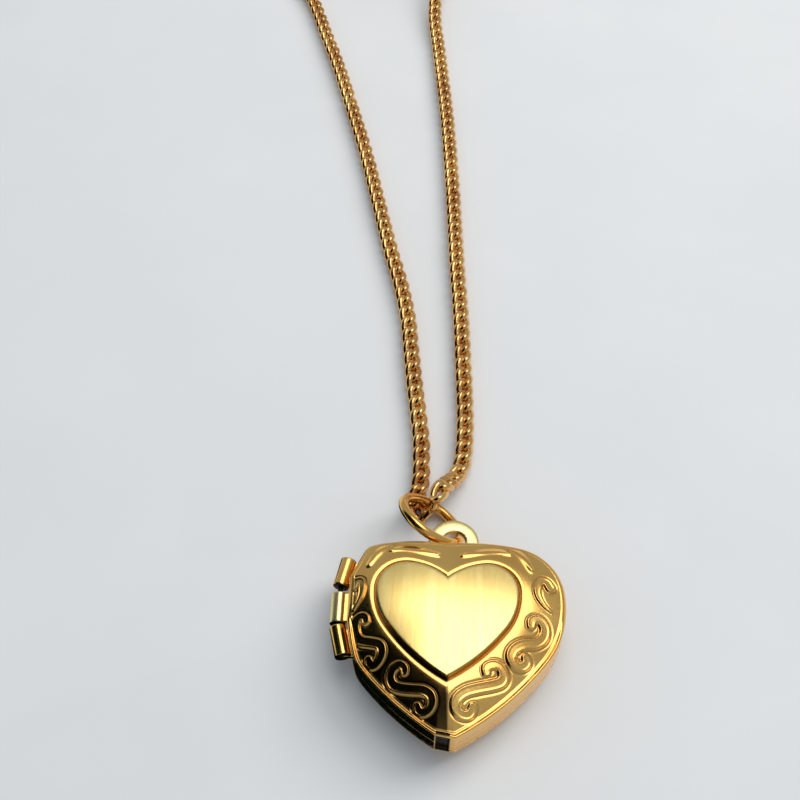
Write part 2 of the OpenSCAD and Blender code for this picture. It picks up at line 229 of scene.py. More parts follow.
# The tails curl inwards from the coils by these angles, and the right one comes down to the floor as it goes.
TAIL_R = 3.6
TAIL_STEPS = 18
LEFT_SWEEP = 120
RIGHT_SWEEP = 110
LEFT_TAIL_Z = ((0, LOW), (1, LOW))
RIGHT_TAIL_Z = ((0, HIGH), (75 / RIGHT_SWEEP, 1.6), (1, LOW))
FAR_END_PIECES = {
    "left": ("clasp_case", "clasp_bolt", "clasp_loop", "clasp_link"),
    "right": ("end_tag", "tag_link"),
}
LINK_PITCH = 1.5
LINK_HALF_L = 1.08
LINK_HALF_W = 0.54
LINK_WIRE_R = 0.37
LINK_TWIST = math.radians(52)
# A link's corners: 1 would make it an ellipse, and less makes it squarer.
LINK_SQUARE = 0.85
LINK_POINTS = 24
LINK_SIDES = 8
MARKS_PER_LINK = 8
# How far the links roll and turn by chance, in degrees.
ROLL_SPREAD = 5
YAW_SPREAD = 2


def smooth_route(points, step=0.4):
    """A smooth line through the route's points (a Catmull-Rom curve)."""
    p = np.array(points, float)
    p = np.vstack([2 * p[0] - p[1], p, 2 * p[-1] - p[-2]])
    line = []
    for a, b, c, d in zip(p[:-3], p[1:-2], p[2:-1], p[3:]):
        count = max(2, int(np.linalg.norm(c - b) / step))
        for t in np.linspace(0, 1, count, endpoint=False):
            lower = 2 * b + (c - a) * t + (2 * a - 5 * b + 4 * c - d) * t**2
            line.append(0.5 * (lower + (3 * b - a - 3 * c + d) * t**3))
    return line + [p[-2]]


def coil_turns(turns, start, way, z):
    """The middle line of a flat coil winding inwards from angle start. way is -1 for clockwise, or else 1."""
    outer_r = COIL_MEAN_R + turns / 2 * CHAIN_D
    count = int(turns * COIL_STEPS)
    line = []
    for k in range(count + 1):
        angle = math.radians(start) + way * 2 * math.pi * turns * k / count
        r = outer_r - turns * CHAIN_D * k / count
        line.append(np.array((COIL_MM[0] + r * math.cos(angle), COIL_MM[1] + r * math.sin(angle), z)))
    return line


def coil_tail(turns, way, sweep, heights):
    """The last stretch, which curls away from the coil's inner turn. heights are (fraction, z) pairs."""
    end_r = COIL_MEAN_R - turns / 2 * CHAIN_D
    line = []
    for k in range(1, TAIL_STEPS + 1):
        angle = math.pi + way * math.radians(sweep) * k / TAIL_STEPS
        x = COIL_MM[0] - end_r + TAIL_R * (1 + math.cos(angle))
        z = np.interp(k / TAIL_STEPS, [h[0] for h in heights], [h[1] for h in heights])
        line.append(np.array((x, COIL_MM[1] + TAIL_R * math.sin(angle), z)))
    return line


def even_line(line, step):
    """The same line with points an even step apart, and its length."""
    line = np.array(line)
    lengths = np.concatenate([[0], np.cumsum(np.linalg.norm(np.diff(line, axis=0), axis=1))])
    marks = np.arange(0, lengths[-1] + step / 2, step)
    return np.stack([np.interp(marks, lengths, line[:, k]) for k in range(3)], axis=1), lengths[-1]


def curb_link():
    """One twisted oval link along X, as rings of points."""
    around = np.linspace(0, 2 * math.pi, LINK_POINTS, endpoint=False)

    def centre(u):
        x = LINK_HALF_L * np.sign(np.cos(u)) * np.abs(np.cos(u)) ** LINK_SQUARE
        r = LINK_HALF_W * np.sign(np.sin(u)) * np.abs(np.sin(u)) ** LINK_SQUARE
        turn = LINK_TWIST * x / LINK_HALF_L
        return np.stack([x, r * np.cos(turn), r * np.sin(turn)], axis=-1)

    points = centre(around)
    along = centre(around + 0.01) - centre(around - 0.01)
    along /= np.linalg.norm(along, axis=1)[:, None]
    rings = []
    for p, t in zip(points, along):
        turn = LINK_TWIST * p[0] / LINK_HALF_L
        flat = np.array((0, -math.sin(turn), math.cos(turn)))
        out = np.cross(t, flat)
        out /= np.linalg.norm(out)
        up = np.cross(out, t)
        sides = np.linspace(0, 2 * math.pi, LINK_SIDES, endpoint=False)[:, None]
        rings.append(p + LINK_WIRE_R * (np.cos(sides) * out + np.sin(sides) * up))
    return np.vstack(rings), ring_faces(LINK_POINTS, LINK_SIDES, closed=True)


def chain_strand(name, line, seed):
    """Curb links along a line, each rolled and turned a little by chance."""
    chance = random.Random(seed)
    template, template_faces = curb_link()
    marks, _ = even_line(line, LINK_PITCH / MARKS_PER_LINK)
    half = MARKS_PER_LINK // 2
    points = []
    faces = []
    for i in range(half, len(marks) - half, MARKS_PER_LINK):
        along = marks[i + 3] - marks[i - 3]
        along /= np.linalg.norm(along)
        side = np.cross((0, 0, 1), along)
        side /= np.linalg.norm(side)
        up = np.cross(along, side)
        roll = math.radians(chance.gauss(0, ROLL_SPREAD))
        yaw = math.radians(chance.gauss(0, YAW_SPREAD))
        turned_side = math.cos(roll) * side + math.sin(roll) * up
        turned_up = np.cross(along, turned_side)
        ahead = math.cos(yaw) * along + math.sin(yaw) * turned_side
        across = np.cross(turned_up, ahead)
        start = len(points) * len(template)
        points.append(marks[i] + template @ np.array([ahead, across, turned_up]))
        faces += [tuple(v + start for v in f) for f in template_faces]
    return mesh_object(name, np.vstack(points), faces)


def add_chain():
    left_line = smooth_route(LEFT_RUN) + coil_turns(LEFT_TURNS, 180, -1, LOW)
    left_line += coil_tail(LEFT_TURNS, -1, LEFT_SWEEP, LEFT_TAIL_Z)
    right_line = smooth_route(RIGHT_RUN) + coil_turns(RIGHT_TURNS, 0, 1, HIGH)
    right_line += coil_tail(RIGHT_TURNS, 1, RIGHT_SWEEP, RIGHT_TAIL_Z)
    strands = []
    for side, line, seed in (("left", left_line, 3), ("right", right_line, 8)):
        strand = chain_strand("chain_" + side, line, seed)
        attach(strand, "locket_back")
        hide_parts(f"chain_{side}_run", f"chain_{side}_coil", f"chain_{side}_tail")
        path, length = even_line(line, 1.0)
        strands.append((strand, path, length, line[0], FAR_END_PIECES[side]))
    return strands


# ---- Heart-shaped case ----


def unit(degrees):
    return np.array((math.cos(math.radians(degrees)), math.sin(math.radians(degrees))))


def heart(arcs, inset, drop):
    """Points in mm round a heart drawn in by inset, from the notch by the right lobe and the tip."""
    d = inset / HALF_W
    centre = -arcs[0][0] * unit(arcs[0][1])
    right = []
    for i, (radius, start, end) in enumerate(arcs):
        if i > 0:
            centre = centre + (arcs[i - 1][0] - radius) * unit(start)
        if i == 0:
            start = math.degrees(math.acos(-centre[0] / (radius - d)))
        if i == len(arcs) - 1:
            end = -math.degrees(math.acos(-centre[0] / (radius - d)))
        for a in np.linspace(start, end, ARC_STEPS[i], endpoint=False):
            right.append(centre + (radius - d) * unit(a))
    right.append(centre + (radius - d) * unit(end))
    right = np.array(right) * HALF_W + (0, NOTCH_Y - drop)
    left = right[-2:0:-1] * (-1, 1)
    return np.vstack([right, left])


def hinge_edge(y):
    """The case's left edge behind the hinge at each y."""
    lean = np.maximum(EDGE_LEAN * (y - EDGE_LEAN_FROM), 0)
    below = LOWER_LEAN * (LOWER_ENDS[1] - y) / (LOWER_ENDS[1] - LOWER_ENDS[0])
    lean = np.maximum(lean, below)
    return PIN_X + BARREL_R + CASE_GAP + lean


def outer(inset):
    ring = heart(OUTER_ARCS, inset, 0)
    x, y = ring[:, 0], ring[:, 1]
    past = (x - hinge_edge(y) - inset) / HINGE_BLEND
    softened = hinge_edge(y) + inset + HINGE_BLEND * np.logaddexp(0, past)
    ring[:, 0] = np.where((x < 0) & (past < BLEND_ENDS), softened, x)
    ring[:, 1] = np.maximum(y, TIP_Y - TIP_SLOPE * ring[:, 0] + inset)
    return ring


def inner(inset):
    ring = heart(INNER_ARCS, inset, INNER_DROP) + (INNER_X, 0)
    ring[:, 1] *= np.where(ring[:, 1] < 0, INNER_STRETCH, 1)
    return ring


def at(ring, z):
    return np.column_stack([ring, np.broadcast_to(z, len(ring))])


# ---- Scrolls on the border ----

# Middle lines of the scrolls in mm, from one eye to the other. They were marked in a frame that leans by
# MOTIF_TURN from the part's, so placed() turns them about MOTIF_PIVOT.
MOTIF_TURN = math.radians(0.92)
MOTIF_PIVOT = (0.076, 8.654)
RIGHT_LOW_SCROLL = (
    (2.9, -3.6), (2.9, -3.2), (3.3, -2.95), (3.8, -2.95), (4.2, -3.3), (4.3, -3.85), (4.05, -4.3),
    (3.3, -4.6), (2.2, -4.9), (1.2, -5.25), (0.55, -5.8), (0.45, -6.5), (0.8, -6.95), (1.35, -7.05),
    (1.7, -6.75), (1.8, -6.3),
)
LEFT_LOW_SCROLL = (
    (-3.7, -3.7), (-3.75, -3.35), (-4.15, -3.1), (-4.65, -3.4), (-4.85, -4), (-4.6, -4.65), (-3.9, -4.95),
    (-3, -5.1), (-2.2, -5.2), (-1.65, -5.55), (-1.5, -6.1), (-1.7, -6.6), (-2.1, -6.85), (-2.5, -6.75),
    (-2.65, -6.35),
)
RIGHT_SIDE_SCROLL = (
    (6.7, 0.6), (6.75, 1), (7.1, 1.2), (7.55, 1.05), (7.85, 0.45), (7.7, -0.3), (7.05, -0.85), (5.9, -1.1),
    (5.2, -1.55), (4.95, -2.2), (5.3, -2.8), (5.85, -2.9), (6.25, -2.55), (6.15, -2.1),
)
LEFT_SIDE_SCROLL = (
    (-7, 0.7), (-7.1, 1.05), (-7.45, 1.15), (-7.8, 0.85), (-7.9, 0.3), (-7.75, -0.4), (-7.3, -0.9),
    (-6.5, -1.15), (-5.8, -1.4), (-5.6, -1.95), (-5.8, -2.6), (-6.2, -3), (-6.55, -2.9), (-6.65, -2.5),
)
RIGHT_COMMA = ((8.5, 4.2), (8.2, 4.7), (7.7, 4.75), (7.4, 4.2), (7.4, 3.4), (7.8, 2.6), (8.5, 1.9))
LEFT_COMMA = ((-8.2, 4), (-7.95, 4.45), (-7.6, 4.45), (-7.45, 4), (-7.5, 3.2), (-7.8, 2.4), (-8.1, 1.8))
TOP_LEAF = ((1.1, 7.1), (2.6, 7.35), (4.1, 7.5), (5.2, 7.35))
SHOULDER_LEAF = ((5.1, 7.95), (5.9, 7.4), (6.55, 6.65), (7, 5.8))


def placed(points):
    """A motif's points turned into the part's frame. The pivot lands on the axis x = 0."""
    turn = np.array(
        ((math.cos(MOTIF_TURN), -math.sin(MOTIF_TURN)), (math.sin(MOTIF_TURN), math.cos(MOTIF_TURN)))
    )
    return (np.array(points) - MOTIF_PIVOT) @ turn.T + (0, MOTIF_PIVOT[1])


def scroll_width(s):
    """Half the width of an S scroll, s from 0 to 1 along it."""
    return 0.32 + 0.12 * np.sin(math.pi * s) ** 0.7


def comma_width(s):
    return 0.05 + 0.34 * (1 - s) ** 0.6


def leaf_width(s):
    return 0.22 + 0.16 * np.sin(math.pi * s) ** 0.8


def mirrored(points):
    return points * (-1, 1)


SCROLLS = (
    (placed(RIGHT_LOW_SCROLL), scroll_width),
    (placed(LEFT_LOW_SCROLL), scroll_width),
    (placed(RIGHT_SIDE_SCROLL), scroll_width),
    (placed(LEFT_SIDE_SCROLL), scroll_width),
    (placed(RIGHT_COMMA), comma_width),
    (placed(LEFT_COMMA), comma_width),
)
LEAVES = (
    (placed(TOP_LEAF), leaf_width),
    (mirrored(placed(TOP_LEAF)), leaf_width),
    (placed(SHOULDER_LEAF), leaf_width),
    (mirrored(placed(SHOULDER_LEAF)), leaf_width),
)
LEAF_H = 0.16
SCROLL_H = 0.12
SCROLL_LIP = 0.06
SCROLL_MOAT = 0.04
# Where the lip and the moat lie, as multiples of the ribbon's half width.
LIP_AT = 0.82
MOAT_AT = 1.3


def hump(reach, middle, width):
    """A soft hump of height 1 at the middle."""
    return np.exp(-(((reach - middle) / width) ** 2))


def scroll_reach(xy, motifs):
    """How far each point is from the nearest motif's middle line, as a multiple of its half width there."""
    reach = np.full(len(xy), 9.0)
    for points, width in motifs:
        flat = [(x, y, 0) for x, y in points]
        line, _ = even_line(smooth_route(flat, 0.08), 0.05)
        half = width(np.linspace(0, 1, len(line)))
        near = np.where((np.abs(xy - line[:, :2].mean(axis=0)) < 4).all(axis=1))[0]
        for part in np.array_split(near, max(1, len(near) // 4000)):
            gaps = np.linalg.norm(xy[part, None, :] - line[None, :, :2], axis=2) / half[None]
            reach[part] = np.minimum(reach[part], gaps.min(axis=1))
    return reach


def scroll_relief(reach):
    """The raised ribbon's height with a lip along both edges and a fine moat round it."""
    flat_top = 1 / (1 + np.exp((reach - 1) / 0.07))
    lip = hump(reach, LIP_AT, 0.17)
    moat = hump(reach, MOAT_AT, 0.2)
    return SCROLL_H * flat_top + SCROLL_LIP * lip - SCROLL_MOAT * moat


# ---- Case halves ----

# The rolled rim as (inset from the outline, height from the wall's edge) pairs.
RIM_SECTION = (
    (0, -0.42), (-0.02, -0.34), (-0.05, -0.27), (-0.06, -0.19), (-0.05, -0.1), (-0.01, -0.03), (0.05, 0.01),
    (0.11, 0.02), (0.17, -0.01), (0.22, -0.06), (0.27, -0.12), (0.34, -0.13), (0.42, -0.09),
)
# The back's rounder edge in the same way, from the wall down.
BACK_EDGE_SECTION = (
    (0, 0.5), (-0.02, 0.44), (-0.03, 0.36), (-0.01, 0.28), (0.05, 0.2), (0.15, 0.1), (0.28, 0.01),
    (0.42, -0.07), (0.56, -0.14),
)
# The plain rounded shoulder of the upper part, in the same way and with as many points.
ROUND_STEPS = len(RIM_SECTION) - 1
ROUND_TURNS = tuple(math.pi / 2 * k / ROUND_STEPS for k in range(ROUND_STEPS + 1))
ROUND_SECTION = tuple((0.45 * (1 - math.cos(a)), -0.42 + 0.6 * math.sin(a)) for a in ROUND_TURNS)
# Between these heights along Y the rim turns from the rolled section into the round one.
RIM_FADE_Y = (-1.5, 2.5)
# The border rises from its foot to the crest round the raised heart, given as insets from the heart's line.
FOOT_IN = 0.5
BORDER_STEPS = 46
BORDER_RISE = 0.76
BORDER_Z = FRONT_EDGE_Z + BORDER_RISE
CREST = (-0.48, -0.1)
CREST_H = 0.02
CREST_STEPS = 5
GROOVE_W = 0.13
GROOVE_DEPTH = 0.12
GROOVE_STEPS = 6
GROOVE_Z = BORDER_Z - GROOVE_DEPTH
# The raised heart: its steep flank, then a dome that falls away from its middle.
DOME_MIDDLE = (INNER_X, 1.4)
DOME_REACH = (6.9, 7.4)
FLANK_H = 0.24
FLANK_RINGS = 4
# How dark each part is painted, from 0 to 1: patina in the moats and the groove, painted shade at the lower
# left.
SCROLL_PATINA = 0.3
GROOVE_PATINA = 0.45
BORDER_PAINTED_SHADE = 0.9
RIM_PAINTED_SHADE = 0.35
# The painted shade is darkest towards this angle round the case, in degrees, and stops at the ridge above the
# tip.
SHADE_DARKEST_AT = 245
RIDGE_X = 0.05


def rim_share(ring):
    """How much of the rolled rim shows at each point: all of it low down and none of it round the lobes."""
    t = np.clip((ring[:, 1] - RIM_FADE_Y[0]) / (RIM_FADE_Y[1] - RIM_FADE_Y[0]), 0, 1)
    return 1 - t * t * (3 - 2 * t)


def border_rise(t):
    return 1 - (1 - t) ** 1.22


def dome_height(xy, edge):
    """Height of the raised heart. edge goes from 0 at its edge to 1 away from it."""
    out = ((xy - DOME_MIDDLE) / DOME_REACH) ** 2
    crown = TOP_Z - GROOVE_Z - FLANK_H
    return (FLANK_H + crown * (1 - np.minimum(out.sum(axis=1), 1))) * edge


def lower_left(ring):
    """1 where a ring faces the lower left, falling to 0 round its other sides: where the shade is painted."""
    away = ring - DOME_MIDDLE
    toward = (away @ unit(SHADE_DARKEST_AT)) / np.linalg.norm(away, axis=1)
    left_of_ridge = np.clip((RIDGE_X - ring[:, 0]) / 0.15, 0, 1)
    return np.clip((toward - 0.6) / 0.25, 0, 1) * left_of_ridge


def groove_patina_and_painted_shade(ring):
    """Patina in the groove, with painted shade added so that it is darkest at the lower left."""
    return GROOVE_PATINA + (1 - GROOVE_PATINA) * lower_left(ring)


def dome_edge(inset):
    """How far the raised heart has risen at this inset from its outline, from 0 to 1."""
    return 1 - math.exp(-(((inset - 0.03) / 0.07) ** 1.2))


def front_wall():
    rings = [at(outer(0.05), SEAM_Z), at(outer(0.01), SEAM_Z + 0.04)]
    return rings + [at(outer(0), z) for z in np.linspace(SEAM_Z + 0.1, FRONT_EDGE_Z - 0.45, 8)]


def front_rim(rolled):
    rings = []
    for (d, dz), (round_d, round_dz) in zip(RIM_SECTION, ROUND_SECTION):
        ring = outer(d) * rolled[:, None] + outer(round_d) * (1 - rolled[:, None])
        rings.append(at(ring, FRONT_EDGE_Z + dz * rolled + round_dz * (1 - rolled)))
    return rings


def front_border(rolled):
    foot = outer(FOOT_IN)
    crest = inner(CREST[0])
    foot_z = FRONT_EDGE_Z + RIM_SECTION[-1][1] * rolled + ROUND_SECTION[-1][1] * (1 - rolled)
    rings = []
    for t in np.linspace(0, 1, BORDER_STEPS):
        rings.append(at(foot * (1 - t) + crest * t, foot_z + (BORDER_Z - foot_z) * border_rise(t)))
    return rings


def front_crest():
    rings = []
    for k in range(1, CREST_STEPS + 1):
        inset = CREST[0] + (CREST[1] - CREST[0]) * k / CREST_STEPS
        rings.append(at(inner(inset), BORDER_Z + CREST_H * math.sin(math.pi * k / CREST_STEPS)))
    return rings


def front_groove():
    rings = []
    for k in range(1, GROOVE_STEPS + 1):
        drop = GROOVE_DEPTH * math.sin(math.pi / 2 * k / GROOVE_STEPS) ** 2
        rings.append(at(inner(CREST[1] + GROOVE_W * k / GROOVE_STEPS), BORDER_Z - drop))
    return rings


def raised_heart():
    rings = []
    for inset in np.linspace(0.05, 1, 24):
        ring = inner(inset)
        rings.append(at(ring, GROOVE_Z + dome_height(ring, dome_edge(inset))))
    last = inner(1)
    for s in np.linspace(0.95, 0.03, 20):
        ring = np.array(DOME_MIDDLE) + (last - DOME_MIDDLE) * s
        rings.append(at(ring, GROOVE_Z + dome_height(ring, dome_edge(1 + 3 * (1 - s)))))
    return rings


def press_scrolls(border):
    """Raises the scrolls and leaves on the border's rings, and returns each ring's patina in the moats and
    painted shade at the lower left.
    """
    patina_and_painted_shade = []
    for ring in border:
        reach = scroll_reach(ring[:, :2], SCROLLS)
        leaf_reach = scroll_reach(ring[:, :2], LEAVES)
        ring[:, 2] += scroll_relief(reach) + LEAF_H * hump(leaf_reach, 0, 1)
        in_moat = SCROLL_PATINA * hump(reach, MOAT_AT, 0.22)
        # Painted shade on the border towards the lower left, kept off the scrolls' lips.
        painted_shade_off_lip = BORDER_PAINTED_SHADE * lower_left(ring[:, :2]) * (1 - hump(reach, LIP_AT, 0.22))
        patina_and_painted_shade.append(np.maximum(in_moat, painted_shade_off_lip))
    return patina_and_painted_shade


def front_outside():
    """The front's rings from the parting line to the heart's middle, their patina and painted shade, and
    where satin starts.
    """
    edge = outer(0)
    rolled = rim_share(edge)
    wall, rim, border = front_wall(), front_rim(rolled), front_border(rolled)
    crest, groove, dome = front_crest(), front_groove(), raised_heart()
    clean = np.zeros(len(edge))
    # The rim gets painted shade towards the lower left, and the groove gets patina with painted shade.
    patina_and_painted_shade = [clean] * len(wall) + [RIM_PAINTED_SHADE * lower_left(edge)] * len(rim)
    patina_and_painted_shade += press_scrolls(border) + [clean] * len(crest)
    patina_and_painted_shade += [groove_patina_and_painted_shade(inner(CREST[0]))] * (len(groove) + FLANK_RINGS)
    patina_and_painted_shade += [clean] * (len(dome) - FLANK_RINGS)
    rings = wall + rim + border + crest + groove + dome
    return rings, patina_and_painted_shade, len(rings) - len(dome) + FLANK_RINGS


def front_inside():
    """The front's inner rings from the middle to the parting line."""
    roof = BORDER_Z - SHEET_T - 0.2
    rings = []
    last = inner(1)
    for s in np.linspace(0.03, 1, 12):
        ring = np.array(DOME_MIDDLE) + (last - DOME_MIDDLE) * s
        rings.append(at(ring, roof - 0.1 + dome_height(ring, 1)))
    rings += [at(inner(0.3), roof - 0.15), at(inner(-0.3), roof)]
    for t in np.linspace(0.9, 0, 8):
        ring = outer(SHEET_T + 0.4) * (1 - t) + inner(-0.3) * t
        rise = (roof - FRONT_EDGE_Z + SHEET_T) * (1 - (1 - t) ** 2.1)
        rings.append(at(ring, FRONT_EDGE_Z - SHEET_T + rise))
    rings += [at(outer(SHEET_T + 0.08), FRONT_EDGE_Z - SHEET_T - 0.1)]
    rings += [at(outer(SHEET_T), z) for z in np.linspace(FRONT_EDGE_Z - SHEET_T - 0.25, SEAM_Z + 0.04, 4)]
    rings += [at(outer(SHEET_T - 0.04), SEAM_Z)]
    return rings


# The thumbnail notch beside the tip. It is pressed into the first rings from the parting line.
NOTCH_HALF = 0.53
NOTCH_X = -0.35
NOTCH_DEPTH = 0.3
NOTCH_ENDS_Z = (1.5, 4.4)
NOTCH_RINGS = 16
NOTCH_SLACK = 0.05

# The places of the materials on the two halves and on the barrels, after the plain gold at 0.
# The last place on each is near-black gold, painted shade in the nail notch and in the barrels' ends and
# bores.
FRONT_SATIN, FRONT_INSIDE, FRONT_PAINTED_SHADE = 1, 2, 3
BACK_INSIDE, BACK_PAINTED_SHADE = 1, 2
BARREL_PAINTED_SHADE = 1


def nail_notch(rings, low, high):
    """Presses the thumbnail notch into the wall beside the tip, between two heights."""
    for ring in rings:
        x, y, z = ring[:, 0], ring[:, 1], ring[:, 2]
        there = (np.abs(x - NOTCH_X) < NOTCH_HALF) & (y < -7) & (z > low) & (z < high)
        ring[there, 1] += NOTCH_DEPTH


def in_nail_notch(poly):
    x, y, z = poly.center / MM
    behind_wall = y - (TIP_Y - TIP_SLOPE * x)
    beside = abs(x - NOTCH_X) < NOTCH_HALF + NOTCH_SLACK
    return beside and NOTCH_SLACK < behind_wall < NOTCH_DEPTH + NOTCH_SLACK and z > NOTCH_ENDS_Z[0]


# Stores each point's patina and painted shade for the case's gold.
def set_patina_and_painted_shade(obj, values):
    attribute = obj.data.attributes.new("patina_and_painted_shade", "FLOAT", "POINT")
    attribute.data.foreach_set("value", values.astype(np.float32))


def add_front_shell():
    inside = front_inside()
    outside, patina_and_painted_shade, satin_from = front_outside()
    nail_notch(outside[:NOTCH_RINGS], SEAM_Z - 1, NOTCH_ENDS_Z[1])
    shell = loft("front_shell_pressed", inside + outside)
    size = len(inside[0])
    values = np.concatenate([np.zeros(len(inside) * size)] + patina_and_painted_shade + [np.zeros(2)])
    set_patina_and_painted_shade(shell, values)
    satin_vertex = (len(inside) + satin_from) * size
    inside_vertex = len(inside) * size
    for poly in shell.data.polygons:
        lowest = min(poly.vertices)
        if in_nail_notch(poly):
            poly.material_index = FRONT_PAINTED_SHADE
        elif lowest >= satin_vertex:
            poly.material_index = FRONT_SATIN
        elif lowest < inside_vertex - size:
            poly.material_index = FRONT_INSIDE
    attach(shell, "locket_front")
    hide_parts("front_shell")
    return shell


def add_back_shell():
    """The back half: a wall, a rolled edge and a plain domed back with a flat in its middle."""
    inside = []
    for s in np.linspace(0.03, 1, 6):
        inside.append(at(np.array(DOME_MIDDLE) + (inner(0.5) - DOME_MIDDLE) * s, SHEET_T))
    for t in np.linspace(0.2, 1, 6):
        ring = inner(0.5) * (1 - t) + outer(SHEET_T + 0.3) * t
        inside.append(at(ring, SHEET_T + BACK_EDGE_Z * t**2.2))
    inside += [at(outer(SHEET_T), z) for z in np.linspace(BACK_EDGE_Z + SHEET_T + 0.25, SEAM_Z - 0.04, 4)]
    inside += [at(outer(SHEET_T - 0.04), SEAM_Z)]
    outside = [at(outer(0.05), SEAM_Z), at(outer(0.01), SEAM_Z - 0.04)]
    outside += [at(outer(0), z) for z in np.linspace(SEAM_Z - 0.1, BACK_EDGE_Z + 0.45, 8)]
    outside += [at(outer(d), BACK_EDGE_Z + dz) for d, dz in BACK_EDGE_SECTION]
    last_in, last_dz = BACK_EDGE_SECTION[-1]
    for t in np.linspace(0.06, 1, 16):
        ring = outer(last_in) * (1 - t) + inner(0.3) * t
        outside.append(at(ring, (BACK_EDGE_Z + last_dz) * (1 - t) ** 1.7))
    for s in np.linspace(0.9, 0.03, 8):
        outside.append(at(np.array(DOME_MIDDLE) + (inner(0.3) - DOME_MIDDLE) * s, 0))
    nail_notch(outside[:NOTCH_RINGS], NOTCH_ENDS_Z[0], SEAM_Z + 1)
    shell = loft("back_shell_pressed", inside + outside)
    inside_vertex = (len(inside) - 1) * len(inside[0])
    for poly in shell.data.polygons:
        if in_nail_notch(poly):
            poly.material_index = BACK_PAINTED_SHADE
        elif min(poly.vertices) < inside_vertex:
            poly.material_index = BACK_INSIDE
    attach(shell, "locket_back")
    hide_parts("back_shell")
    return shell


# ---- Windows ----

# The clear sheets: their inset from the outline, their heights, and how far they stop short of their cards,
# since two faces in one plane would show in patches.
SHEET_IN = 1.3
BACK_WINDOW_Z = (SEAM_Z - 0.9, SEAM_Z - 0.7)
FRONT_WINDOW_Z = (SEAM_Z + 1, SEAM_Z + 1.2)
CARD_GAP = 0.03


def add_window(name, low, high, body, node):
    """The clear sheet over a card."""
    piece = loft(name, [at(outer(SHEET_IN), low), at(outer(SHEET_IN), high)])
    piece.data.shade_flat()
    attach(piece, body)
    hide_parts(node)
    return piece


def add_windows():
    """The back's card lies below its window and the lid's above."""
    low, high = BACK_WINDOW_Z
    back_window = add_window("back_window_sheet", low + CARD_GAP, high, "locket_back", "back_window")
    low, high = FRONT_WINDOW_Z
    return back_window, add_window("front_window_sheet", low, high - CARD_GAP, "locket_front", "front_window")


# ---- Hinge ----


def barrel_profile(run, open_end):
    """(distance, radius) pairs along a barrel with softened ends, whose far end may be open."""
    end = [(0, BARREL_R - BARREL_EDGE), (BARREL_EDGE * 0.3, BARREL_R - BARREL_EDGE * 0.3)]
    end += [(BARREL_EDGE, BARREL_R), (BARREL_EDGE * 2, BARREL_R)]
    profile = [(0, 0.05)] + end
    profile += [(run * f, BARREL_R) for f in np.linspace(0.1, 0.9, 9)]
    profile += [(run - d, r) for d, r in reversed(end)]
    if open_end:
        profile += [(run, BARREL_R - 0.2), (run - 0.04, BARREL_R - 0.24)]
        return profile + [(run - 0.6, BARREL_R - 0.26), (run - 0.6, 0.03)]
    return profile + [(run, 0.05)]


def barrel(name, y0, y1, lean, body, node, open_end=False):
    """A rolled barrel from y0 to y1, leaning in towards the case at y1. Its ends and its bore are painted
    dark as shade.
    """
    start = np.array((PIN_X, y0, SEAM_Z))
    end = np.array((PIN_X + lean, y1, SEAM_Z))
    run = np.linalg.norm(end - start)
    piece = loft(name, turned(barrel_profile(run, open_end), start, end))
    axis = (end - start) / run
    for poly in piece.data.polygons:
        out = np.array(poly.center) / MM - start
        in_bore = np.linalg.norm(out - axis * out.dot(axis)) < BARREL_R - 0.17
        poly.material_index = BARREL_PAINTED_SHADE if in_bore or abs(poly.normal.y) > 0.6 else 0
    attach(piece, body)
    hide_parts(node)
    return piece


def leaf_strap(name, y0, y1, lean, side, body):
    """The flat strap from a barrel to the case wall, above the parting line for side 1, or below it."""
    reach = BARREL_R + CASE_GAP + 0.25
    low, high = sorted((SEAM_Z + side * 0.1, SEAM_Z + side * 0.5))
    step = 0.12 if y1 > y0 else -0.12
    corners = []
    for z in (low, high):
        for y, shift in ((y0 + step, 0), (y1 - step, lean)):
            corners += [(PIN_X + shift, y, z), (PIN_X + shift + reach, y, z)]
    faces = [(0, 1, 3, 2), (4, 6, 7, 5), (0, 4, 5, 1), (1, 5, 7, 3), (3, 7, 6, 2), (2, 6, 4, 0)]
    piece = mesh_object(name, corners, faces, smooth=False)
    face_outwards(piece)
    bevel = piece.modifiers.new("edges", "BEVEL")
    bevel.width = 0.05 * MM
    bevel.segments = 3
    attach(piece, body)
    return piece


def add_hinge():
    return [
        barrel("barrel_upper", *UPPER_ENDS, UPPER_LEAN, "locket_back", "knuckle_upper"),
        barrel("barrel_lower", *LOWER_ENDS[::-1], LOWER_LEAN, "locket_back", "knuckle_lower", open_end=True),
        barrel("barrel_middle", *MIDDLE_ENDS, 0, "locket_front", "knuckle_middle"),
        leaf_strap("strap_upper", *UPPER_ENDS, UPPER_LEAN, -1, "locket_back"),
        leaf_strap("strap_lower", *LOWER_ENDS[::-1], LOWER_LEAN, -1, "locket_back"),
        leaf_strap("strap_middle", *MIDDLE_ENDS, 0, 1, "locket_front"),
    ]


# ---- Eyelet and jump ring ----

EYELET_MM = (0.36, NOTCH_Y + 1.2)
EYELET_R = 2.25
EYELET_HOLE_R = 1.0
EYELET_T = 0.5
EYELET_TOP = SEAM_Z - 0.1
RING_R = 3.05
RING_WIRE_R = 0.45
RING_TILT = math.radians(44)
RING_FALL = math.radians(41)
RING_MM = (
    EYELET_MM[0] - RING_R * math.sin(RING_FALL),
    EYELET_MM[1] + RING_R * math.cos(RING_FALL),
    EYELET_TOP - EYELET_T / 2,
)


